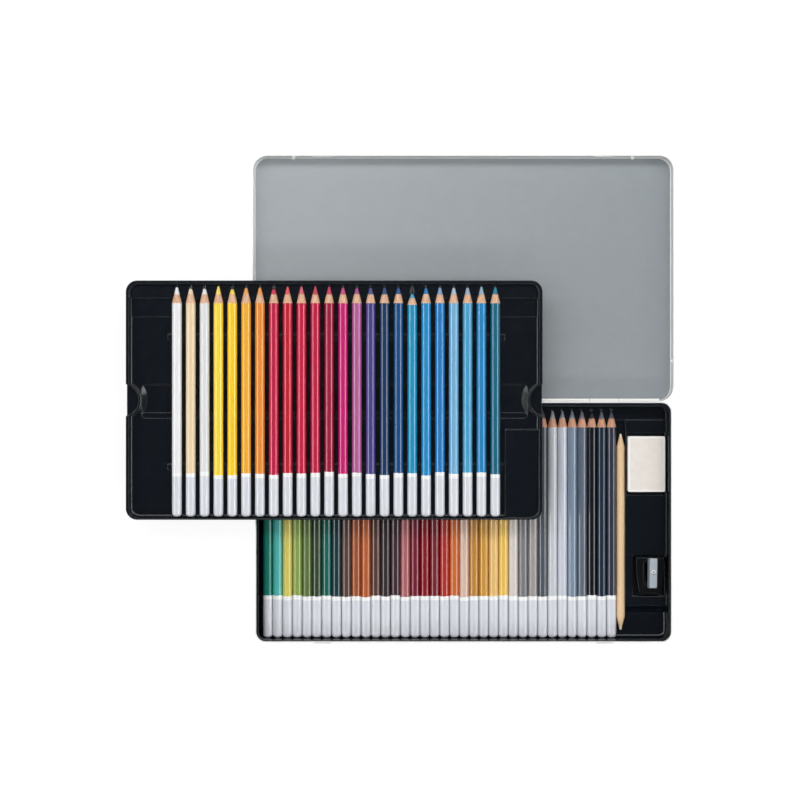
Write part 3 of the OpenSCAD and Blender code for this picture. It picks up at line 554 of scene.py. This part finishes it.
@dataclass(frozen=True)
class PaperFinish:
    """Soft paper rolled tight and sanded: buff and matt, with the turns of the roll showing."""

    middle_y: float  # millimetres
    half_length: float
    color: str = "#eed0a6"
    line: str = "#dfbc90"
    seam_dark: str = "#b9a084"
    point: str = "#faeccf"
    roughness: float = 0.85
    turn: float = 7.0  # millimetres from turn to turn of the wound strip
    lean: float = 0.7  # how far the seams slant
    seam: float = 0.5  # millimetres across a seam
    seam_mark: float = 0.35  # how strongly a seam shows
    fibre: float = 0.7  # millimetres between the fibres, coarse enough to show
    depth: float = 0.05  # millimetres, of the fibres
    point_length: float = 3.0  # millimetres of paler paper at each point

    def material(self) -> bpy.types.Material:
        """Makes the material, with slanting seams, fibres and paler points."""
        s = Surface("rolled_blending_paper")
        axes = s.put("ShaderNodeSeparateXYZ", {0: s.place})
        slant = s.put("ShaderNodeMath", {0: axes.outputs["X"], 1: self.lean,
                                         2: axes.outputs["Y"]}, operation="MULTIPLY_ADD")
        turn = s.put("ShaderNodeMath", {0: slant.outputs[0], 1: self.turn},
                     operation="FLOORED_MODULO")
        seam = s.put("ShaderNodeMapRange", {"Value": turn.outputs[0], "From Min": 0.0,
                                            "From Max": self.seam, "To Min": 1.0,
                                            "To Max": 0.0})
        fibre = s.pattern(self.fibre, detail=3, squeeze=(1, 0.3, 1))
        paper = s.put("ShaderNodeMix", {"Factor": fibre, "A": linear(self.color),
                                        "B": linear(self.line)}, data_type="RGBA")
        marked = s.put("ShaderNodeMath", {0: seam.outputs[0], 1: self.seam_mark},
                       operation="MULTIPLY")
        # darker along the seams
        body = s.put("ShaderNodeMix", {"Factor": marked.outputs[0],
                                       "A": paper.outputs["Result"],
                                       "B": linear(self.seam_dark)}, data_type="RGBA")
        off = s.put("ShaderNodeMath", {0: axes.outputs["Y"], 1: self.middle_y},
                    operation="SUBTRACT")
        away = s.put("ShaderNodeMath", {0: off.outputs[0]}, operation="ABSOLUTE")
        at_point = s.put("ShaderNodeMapRange", {"Value": away.outputs[0],
                                                "From Min": self.half_length
                                                - self.point_length,
                                                "From Max": self.half_length})
        color = s.put("ShaderNodeMix", {"Factor": at_point.outputs[0],
                                        "A": body.outputs["Result"],
                                        "B": linear(self.point)}, data_type="RGBA")
        s.wear({"Base Color": color.outputs["Result"], "Roughness": self.roughness})
        s.relief(fibre, self.depth)
        return s.material


@dataclass(frozen=True)
class EraserFinish:
    """White vinyl, moulded and cut: soft and matt, warm in tint, with a painted highlight along
    its edges.
    """

    middle: tuple[float, float]  # millimetres along X and Y
    half: tuple[float, float]
    color: str = "#eae3dc"
    smudge: str = "#e4ddd5"
    # painted highlight: the colour along the rounded edges
    edge_highlight: str = "#f8f5f1"
    roughness: float = 0.55
    glow: float = 0.1  # share of the light that goes into the vinyl
    glow_reach: float = 2.0  # millimetres that it goes
    smear: float = 5.0  # millimetres between the smudges
    smear_line: tuple[float, float] = (0.35, 0.75)  # values at which a smudge starts and ends
    edge: float = 2.2  # millimetres over which the painted highlight along the edge fades
    skin: float = 0.8  # millimetres between the pores, coarse enough to show
    depth: float = 0.02  # millimetres, of the pores
    worn: float = 0.8  # millimetres of wear round its edges

    def inset(self, s: Surface, axis: int) -> Socket:
        """Adds nodes for the distance inside the two edges across one axis.

        Args:
            s: The material to add them to.
            axis: 0 for X and 1 for Y.

        Returns:
            The distance in millimetres.
        """
        place = s.put("ShaderNodeSeparateXYZ", {0: s.place}).outputs[axis]
        off = s.put("ShaderNodeMath", {0: place, 1: self.middle[axis]}, operation="SUBTRACT")
        away = s.put("ShaderNodeMath", {0: off.outputs[0]}, operation="ABSOLUTE")
        return s.put("ShaderNodeMath", {0: self.half[axis], 1: away.outputs[0]},
                     operation="SUBTRACT").outputs[0]

    def material(self) -> bpy.types.Material:
        """Makes the material, with smudges, a painted highlight along the edges and a fine skin.
        """
        s = Surface("white_vinyl_eraser")
        smear = s.pattern(self.smear, detail=3)
        share = s.put("ShaderNodeMapRange", {"Value": smear, "From Min": self.smear_line[0],
                                             "From Max": self.smear_line[1]})
        face = s.put("ShaderNodeMix", {"Factor": share.outputs[0], "A": linear(self.color),
                                       "B": linear(self.smudge)}, data_type="RGBA")
        inset = s.put("ShaderNodeMath", {0: self.inset(s, 0), 1: self.inset(s, 1)},
                      operation="MINIMUM")
        # painted highlight along the edges, strongest at the rim
        in_edge_highlight = s.put("ShaderNodeMapRange", {"Value": inset.outputs[0],
                                               "From Min": self.edge / 3,
                                               "From Max": self.edge,
                                               "To Min": 1.0, "To Max": 0.0})
        color = s.put("ShaderNodeMix", {"Factor": in_edge_highlight.outputs[0],
                                        "A": face.outputs["Result"],
                                        "B": linear(self.edge_highlight)}, data_type="RGBA")
        s.wear({"Base Color": color.outputs["Result"], "Roughness": self.roughness,
                "Subsurface Weight": self.glow, "Subsurface Scale": self.glow_reach * MM})
        s.relief(s.pattern(self.skin, detail=3), self.depth, self.worn)
        return s.material


@dataclass(frozen=True)
class MouldedPlasticFinish:
    """Black moulded ABS: even and glossy, with the fine grain of the mould."""

    color: str = "#050709"
    ior: float = 1.54
    roughness: tuple[float, float] = (0.15, 0.28)  # in and on the grain
    skin: float = 0.4  # millimetres between the grains, coarse enough for close views
    depth: float = 0.01  # millimetres, of the grain
    edge: float = 0.9  # millimetres of rounding

    def material(self) -> bpy.types.Material:
        """Makes the material."""
        s = Surface("black_moulded_abs")
        skin = s.pattern(self.skin, detail=2)
        rough = s.put("ShaderNodeMapRange", {"Value": skin, "To Min": self.roughness[0],
                                             "To Max": self.roughness[1]})
        s.wear({"Base Color": linear(self.color), "Roughness": rough.outputs[0],
                "IOR": self.ior})
        s.relief(skin, self.depth, self.edge)
        return s.material


@dataclass(frozen=True)
class BladeFinish:
    """Hardened steel, ground across the blade: pale blue-grey, with a darker cutting bevel."""

    bevel_end: float  # millimetres along X, where the bevel turns into the flat
    color: str = "#c3cdd5"
    bevel: str = "#6b757d"
    metal: float = 0.35
    roughness: tuple[float, float] = (0.3, 0.46)  # on and between the lines
    line: float = 0.25  # millimetres between the lines, coarse enough for close views
    depth: float = 0.01  # millimetres, of the lines
    bevel_fade: float = 0.2  # millimetres each way over which the bevel ends
    edge: float = 0.3  # millimetres of rounding

    def material(self) -> bpy.types.Material:
        """Makes the material, with fine grinding lines."""
        s = Surface("ground_blade_steel")
        ground = s.pattern(self.line, detail=3, squeeze=(1, 0.05, 1))
        rough = s.put("ShaderNodeMapRange", {"Value": ground, "To Min": self.roughness[0],
                                             "To Max": self.roughness[1]})
        axes = s.put("ShaderNodeSeparateXYZ", {0: s.place})
        on_flat = s.put("ShaderNodeMapRange", {"Value": axes.outputs["X"],
                                               "From Min": self.bevel_end - self.bevel_fade,
                                               "From Max": self.bevel_end + self.bevel_fade})
        color = s.put("ShaderNodeMix", {"Factor": on_flat.outputs[0],
                                        "A": linear(self.bevel),
                                        "B": linear(self.color)}, data_type="RGBA")
        s.wear({"Base Color": color.outputs["Result"], "Metallic": self.metal,
                "Roughness": rough.outputs[0]})
        s.relief(ground, self.depth, self.edge)
        return s.material


@dataclass(frozen=True)
class ScrewFinish:
    """Bright zinc plating on a small screw: pale on the land, with painted shade in the drive and
    on the near side.
    """

    middle: tuple[float, float]  # millimetres
    radius: float
    color: str = "#f4f7f8"
    # painted shade: dark grey in the drive's recess, and near black on the head's near side
    drive: str = "#77828b"
    near_side_painted_shade: str = "#1b2328"
    metal: float = 0.2
    roughness: float = 0.28
    drive_edge: tuple[float, float] = (0.25, 0.45)  # shares of the radius where the drive's painted shade fades
    painted_shade_edge: tuple[float, float] = (1.22, 1.32)  # the same, for the painted shade on the near side
    painted_shade_lean: float = 0.6  # how much nearer to the middle the painted shade comes on that side

    def material(self) -> bpy.types.Material:
        """Makes the material, with painted shade in the drive in the middle and on the near side.
        """
        s = Surface("zinc_plated_screw")
        axes = s.put("ShaderNodeSeparateXYZ", {0: s.place})
        x = s.put("ShaderNodeMath", {0: axes.outputs["X"], 1: self.middle[0]},
                  operation="SUBTRACT")
        y = s.put("ShaderNodeMath", {0: axes.outputs["Y"], 1: self.middle[1]},
                  operation="SUBTRACT")
        offset = s.put("ShaderNodeCombineXYZ", {0: x.outputs[0], 1: y.outputs[0]})
        out = s.put("ShaderNodeVectorMath", {0: offset.outputs[0]},
                    operation="LENGTH").outputs["Value"]
        # painted shade in the drive, fading out onto the land
        on_land = s.put("ShaderNodeMapRange", {"Value": out,
                                               "From Min": self.drive_edge[0] * self.radius,
                                               "From Max": self.drive_edge[1] * self.radius})
        plated = s.put("ShaderNodeMix", {"Factor": on_land.outputs[0],
                                         "A": linear(self.drive),
                                         "B": linear(self.color)}, data_type="RGBA")
        # painted shade on the near side of the head, where its rim falls into shade
        leant = s.put("ShaderNodeMath", {0: y.outputs[0], 1: -self.painted_shade_lean, 2: out},
                      operation="MULTIPLY_ADD")
        in_painted_shade = s.put("ShaderNodeMapRange", {"Value": leant.outputs[0],
                                                "From Min": self.painted_shade_edge[0] * self.radius,
                                                "From Max": self.painted_shade_edge[1] * self.radius})
        color = s.put("ShaderNodeMix", {"Factor": in_painted_shade.outputs[0],
                                        "A": plated.outputs["Result"],
                                        "B": linear(self.near_side_painted_shade)}, data_type="RGBA")
        s.wear({"Base Color": color.outputs["Result"], "Metallic": self.metal,
                "Roughness": self.roughness})
        return s.material


def dress(name: str, finish: Finish) -> None:
    """Gives a solid of the frame its finish, and reports it.

    Args:
        name: The solid's name.
        finish: The finish.
    """
    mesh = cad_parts[name].data
    material = finish.material()
    mesh.materials.clear()
    mesh.materials.append(material)
    log.info("%s wears %s", name, material.name)


class SubAssembly(Protocol):
    """Anything that builds and dresses its own pieces."""

    def build(self) -> None:
        """Builds and dresses them."""


@dataclass
class BaseTin:
    """The shallow base of pressed tinplate, with the hinge."""

    plate: Finish = TinplateFinish()
    wire: Finish = WireFinish()

    def build(self) -> None:
        """Dresses the base and the hinge."""
        dress("base_tin", self.plate)
        dress("hinge_knuckles", self.plate)
        dress("hinge_wire", self.wire)


@dataclass
class Lid:
    """The lid, lying open on its outside."""

    lacquer: Finish = LidFinish()

    def build(self) -> None:
        """Dresses the lid."""
        dress("lid_shell", self.lacquer)


@dataclass
class FormedInserts:
    """The two black formed sheets: the insert of the base and the lift-out tray."""

    sheet: Finish = FormedPlasticFinish()

    def build(self) -> None:
        """Dresses both."""
        dress("lower_insert", self.sheet)
        dress("upper_tray", self.sheet)


@dataclass
class PencilLayer:
    """One layer of pencils: which solids they are, and their shades."""

    barrels: list[str]
    cores: dict[str, tuple[int, int]]  # first pencil of each solid, and the one after its last
    shades: list[str]
    tips: list[str]
    seed: float  # of the dips' lengths
    wood: str
    wood_dark: str
    used: dict[str, float] = field(default_factory=dict)  # millimetres sharpened away
    painted: float = 163.0  # millimetres of paint on a new pencil
    cone: float = 7.0  # millimetres of bare wood in front of the paint
    cap_end: float = 30.0  # millimetres of the grey dip
    dip: float = 2.4  # millimetres between the shortest and the longest dip
    value: float = 1.1  # how bright the lacquer is

    def row(self) -> Row:
        """Finds the row's lattice from its outermost barrels."""
        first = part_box(self.barrels[0])
        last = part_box(self.barrels[-1])
        radius = (first[1].z - first[0].z) / 2
        left = (first[0].x + radius) / MM
        right = (last[1].x - radius) / MM
        pitch = (right - left) / (len(self.shades) - 1)
        return Row(left, pitch, first[0].y / MM, self.seed)

    def build(self) -> None:
        """Dresses the barrels and the cores."""
        row = self.row()
        for name in self.barrels:
            low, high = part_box(name)
            middle_x = low.x / MM + row.pitch / 2
            number = round((middle_x - row.first_x) / row.pitch)
            count = round((high.x - low.x) / MM / row.pitch)
            painted = self.painted - self.used.get(name, 0.0)
            dress(name, PencilFinish(
                f"lacquered_{name}", tuple(self.shades[number:number + count]), row, number,
                painted=painted, core_at=painted + self.cone, wood=self.wood,
                wood_dark=self.wood_dark, cap_end=self.cap_end, dip=self.dip,
                value=self.value))
        for name, (first, end) in self.cores.items():
            dress(name, CoreFinish(f"pigment_{name}", tuple(self.tips[first:end]), row, first))


UPPER_SHADES = [
    "#e2e2e4", "#e2cba9", "#d6d7da", "#f1d24e", "#f4c733", "#e9ab41", "#e38e40", "#bd1a44",
    "#c01c36", "#c42547", "#bb1942", "#9c1a3d", "#be1f6e", "#ac5e93", "#484184", "#17355b",
    "#0a487e", "#078cb6", "#0585bd", "#1c78ba", "#72aacf", "#4e9dc5", "#0580bc", "#03637e",
]
UPPER_TIPS = [
    "#eeefee", "#ead9bc", "#e6e6ea", "#fbdd64", "#f8d656", "#eaa25a", "#eb984a", "#cc2a50",
    "#e0525c", "#d86272", "#c43c51", "#c63258", "#bc4a7c", "#a04486", "#484d8a", "#2e467a",
    "#285490", "#46a6cc", "#1474ab", "#7ca0c2", "#adbfd4", "#95abc3", "#90b2c2", "#0e7e9e",
]
LOWER_SHADES = [
    "#027a69", "#54b5ad", "#d6ca68", "#8ca451", "#5e763c", "#344731", "#126458", "#18363e",
    "#5b423c", "#a25734", "#b8643c", "#5a3c36", "#352930", "#412a34", "#ae686c", "#7a2032",
    "#8c1a26", "#7e2832", "#b13a34", "#cc7243", "#d7baaa", "#c08941", "#cd9945", "#e6bf7a",
    "#eac364", "#d6cec8", "#7c7c80", "#9d9998", "#50575f", "#c6c9ce", "#c8ccd6", "#8091a5",
    "#626c7b", "#0a0e17", "#1a2c3f", "#323447",
]
COVERED = 29  # pencils of the lower row that the tray covers
LOWER_TIPS = LOWER_SHADES[:COVERED] + [
    "#a3a7ab", "#89909b", "#7a8492", "#6e7283", "#2a2832", "#626b7f", "#4e5168",
]


@dataclass
class LooseTools:
    """The paper stump, the eraser and the sharpener in their pockets."""

    blade_bevel: float = 1.6  # millimetres across the blade's cutting bevel

    def span(self, name: str) -> tuple[Vector, Vector]:
        """Finds the middle and the half sizes of a solid.

        Args:
            name: The solid's name.

        Returns:
            Both in millimetres.
        """
        low, high = (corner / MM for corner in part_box(name))
        return (low + high) / 2, (high - low) / 2

    def build(self) -> None:
        """Dresses them."""
        middle, half = self.span("paper_stump")
        dress("paper_stump", PaperFinish(middle.y, half.y))
        middle, half = self.span("eraser")
        dress("eraser", EraserFinish((middle.x, middle.y), (half.x, half.y)))
        dress("sharpener_body", MouldedPlasticFinish())
        middle, half = self.span("sharpener_blade")
        dress("sharpener_blade", BladeFinish(middle.x - half.x + self.blade_bevel))
        middle, half = self.span("sharpener_screw")
        dress("sharpener_screw", ScrewFinish((middle.x, middle.y), half.x))


class Side(Enum):
    """Where a lamp hangs, as its direction in degrees from +X."""

    RIGHT = 0
    REAR = 90
    LEFT = 180
    FRONT = 270


@dataclass(frozen=True)
class Lamp:
    """A long soft lamp that looks at the tin."""

    side: Side
    tilt: float  # degrees from the zenith
    breadth: float  # metres across it
    power: float  # watts


@dataclass
class Studio:
    """A pale floor, a bright horizon, long soft lamps, and the camera straight overhead."""

    strips: tuple[Lamp, ...] = (Lamp(Side.LEFT, 56, 0.6, 62), Lamp(Side.RIGHT, 56, 0.6, 62))
    lamps: tuple[Lamp, ...] = (Lamp(Side.FRONT, 40, 0.45, 18), Lamp(Side.REAR, 26, 0.8, 52))
    fills: tuple[Lamp, ...] = (Lamp(Side.LEFT, 60, 1.8, 25), Lamp(Side.RIGHT, 60, 1.8, 25),
                               Lamp(Side.REAR, 0, 1.2, 37))
    reach: float = 3.0  # metres from the tin to a lamp
    length: float = 5.0  # metres along a lamp
    overhead: float = 0.05  # how bright the room's ceiling is
    horizon: float = 1.0  # how bright its walls are near the ground
    band_low: float = 0.04  # height of the bright band, as the sine of its elevation
    band_high: float = 0.32
    floor_half: float = 8.0  # metres
    floor_gap: float = 0.05  # millimetres under the tin
    paper: str = "#f4f4f4"  # the floor, as it lights the tin
    paper_seen: str = "#7c7c7c"  # the share of it that takes shadows in the picture
    paper_glow: float = 0.84  # the share of it that stays white there
    camera_x: float = -0.0488  # metres
    camera_y: float = 0.0936
    camera_z: float = 1.6
    lens: float = 92.57  # millimetres
    sensor: float = 36.0

    def hang(self, lamp: Lamp, kind: str) -> bpy.types.Object:
        """Hangs one lamp, out of the camera's sight.

        Args:
            lamp: The lamp.
            kind: What it is for, as its name says after its side.

        Returns:
            The lamp's object.
        """
        light = bpy.data.lights.new(f"{lamp.side.name.lower()}_{kind}", "AREA")
        light.shape = "RECTANGLE"
        light.size = lamp.breadth
        light.size_y = self.length
        light.energy = lamp.power
        hung = bpy.data.objects.new(light.name, light)
        bpy.context.scene.collection.objects.link(hung)
        hung.matrix_world = (Matrix.Translation((self.camera_x, self.camera_y, 0))
                             @ Matrix.Rotation(math.radians(lamp.side.value), 4, "Z")
                             @ Matrix.Rotation(math.radians(lamp.tilt), 4, "Y")
                             @ Matrix.Translation((0, 0, self.reach)))
        hung.visible_camera = False
        return hung

    def world(self) -> None:
        """Makes the room: white to the camera, dim overhead and bright at the horizon."""
        world = bpy.data.worlds.new("studio")
        bpy.context.scene.world = world
        world.use_nodes = True
        tree = world.node_tree
        tree.nodes.clear()
        coordinates = put(tree, "ShaderNodeTexCoord")
        axes = put(tree, "ShaderNodeSeparateXYZ", {0: coordinates.outputs["Generated"]})
        level = put(tree, "ShaderNodeMapRange", {"Value": axes.outputs["Z"],
                                                 "From Min": self.band_low,
                                                 "From Max": self.band_high,
                                                 "To Min": self.horizon,
                                                 "To Max": self.overhead})
        path = put(tree, "ShaderNodeLightPath")
        seen = put(tree, "ShaderNodeMath", {0: path.outputs["Is Camera Ray"],
                                            1: level.outputs[0]}, operation="MAXIMUM")
        room = put(tree, "ShaderNodeBackground", {"Color": linear("#ffffff"),
                                                  "Strength": seen.outputs[0]})
        put(tree, "ShaderNodeOutputWorld", {"Surface": room.outputs[0]})

    def floor(self) -> None:
        """Lays a pale floor that looks white and keeps a soft shadow."""
        shape = bmesh.new()
        bmesh.ops.create_grid(shape, x_segments=1, y_segments=1, size=self.floor_half)
        bmesh.ops.translate(shape, verts=shape.verts,
                            vec=(0, 0, cad_bounds[0].z - self.floor_gap * MM))
        mesh = bpy.data.meshes.new("floor")
        shape.to_mesh(mesh)
        shape.free()
        floor = bpy.data.objects.new("floor", mesh)
        bpy.context.scene.collection.objects.link(floor)
        material = bpy.data.materials.new("white_paper_floor")
        material.use_nodes = True
        tree = material.node_tree
        tree.nodes.clear()
        paper = put(tree, "ShaderNodeBsdfDiffuse", {"Color": linear(self.paper)})
        thin = put(tree, "ShaderNodeBsdfDiffuse", {"Color": linear(self.paper_seen)})
        glow = put(tree, "ShaderNodeEmission", {"Color": linear("#ffffff"),
                                                "Strength": self.paper_glow})
        bright = put(tree, "ShaderNodeAddShader", {0: thin.outputs[0], 1: glow.outputs[0]})
        path = put(tree, "ShaderNodeLightPath")
        seen = put(tree, "ShaderNodeMath", {0: path.outputs["Is Camera Ray"],
                                            1: path.outputs["Is Glossy Ray"]},
                   operation="MAXIMUM")
        mixed = put(tree, "ShaderNodeMixShader", {0: seen.outputs[0], 1: paper.outputs[0],
                                                  2: bright.outputs[0]})
        put(tree, "ShaderNodeOutputMaterial", {"Surface": mixed.outputs[0]})
        mesh.materials.append(material)

    def camera(self) -> None:
        """Hangs the camera straight over the tin."""
        lens = bpy.data.cameras.new("camera")
        lens.lens = self.lens
        lens.sensor_width = self.sensor
        camera = bpy.data.objects.new("camera", lens)
        camera.location = (self.camera_x, self.camera_y, self.camera_z)
        bpy.context.scene.collection.objects.link(camera)
        bpy.context.scene.camera = camera

    def build(self) -> None:
        """Sets the whole studio up."""
        self.floor()
        self.world()
        for lamp in self.strips:  # seen in glosses alone
            self.hang(lamp, "strip").visible_diffuse = False
        for lamp in self.lamps:
            self.hang(lamp, "lamp")
        for lamp in self.fills:  # soften the shadows, and no gloss shows them
            self.hang(lamp, "fill").visible_glossy = False
        self.camera()
        bpy.context.scene.view_settings.view_transform = "Standard"


def main() -> None:
    """Builds the sub-assemblies in order and reports each one."""
    logging.basicConfig(level=logging.INFO, format="%(name)s: %(message)s")
    nodes = sorted(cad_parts)
    upper = [n for n in nodes if n.startswith("upper_pencil_") and n != "upper_pencil_cores"]
    groups = ["lower_green_pencils", "lower_brown_pencils", "lower_red_pencils",
              "lower_ochre_pencils", "lower_warm_grey_pencils"]
    single = [n for n in nodes if n.startswith("lower_pencil_") and n != "lower_pencil_cores"]
    parts: dict[str, SubAssembly] = {
        "base tin": BaseTin(),
        "lid": Lid(),
        "formed inserts": FormedInserts(),
        "upper pencils": PencilLayer(
            barrels=upper, cores={"upper_pencil_cores": (0, len(UPPER_SHADES))},
            shades=UPPER_SHADES, tips=UPPER_TIPS, seed=0.3, wood="#e8c0a3",
            wood_dark="#cf9f7b", used={"upper_pencil_18_cyan": 1.3}),
        "lower pencils": PencilLayer(
            barrels=groups + single,
            cores={"lower_pencil_cores": (0, COVERED),
                   "grey_pencil_cores": (COVERED, len(LOWER_SHADES))},
            shades=LOWER_SHADES, tips=LOWER_TIPS, seed=50.7, wood="#dcaa8e",
            wood_dark="#bb866a", cap_end=29.2, dip=1.2, value=1.03),
        "loose tools": LooseTools(),
        "studio": Studio(),
    }
    for name, part in parts.items():
        part.build()
        log.info("%s built", name)


if __name__ == "__main__":
    main()
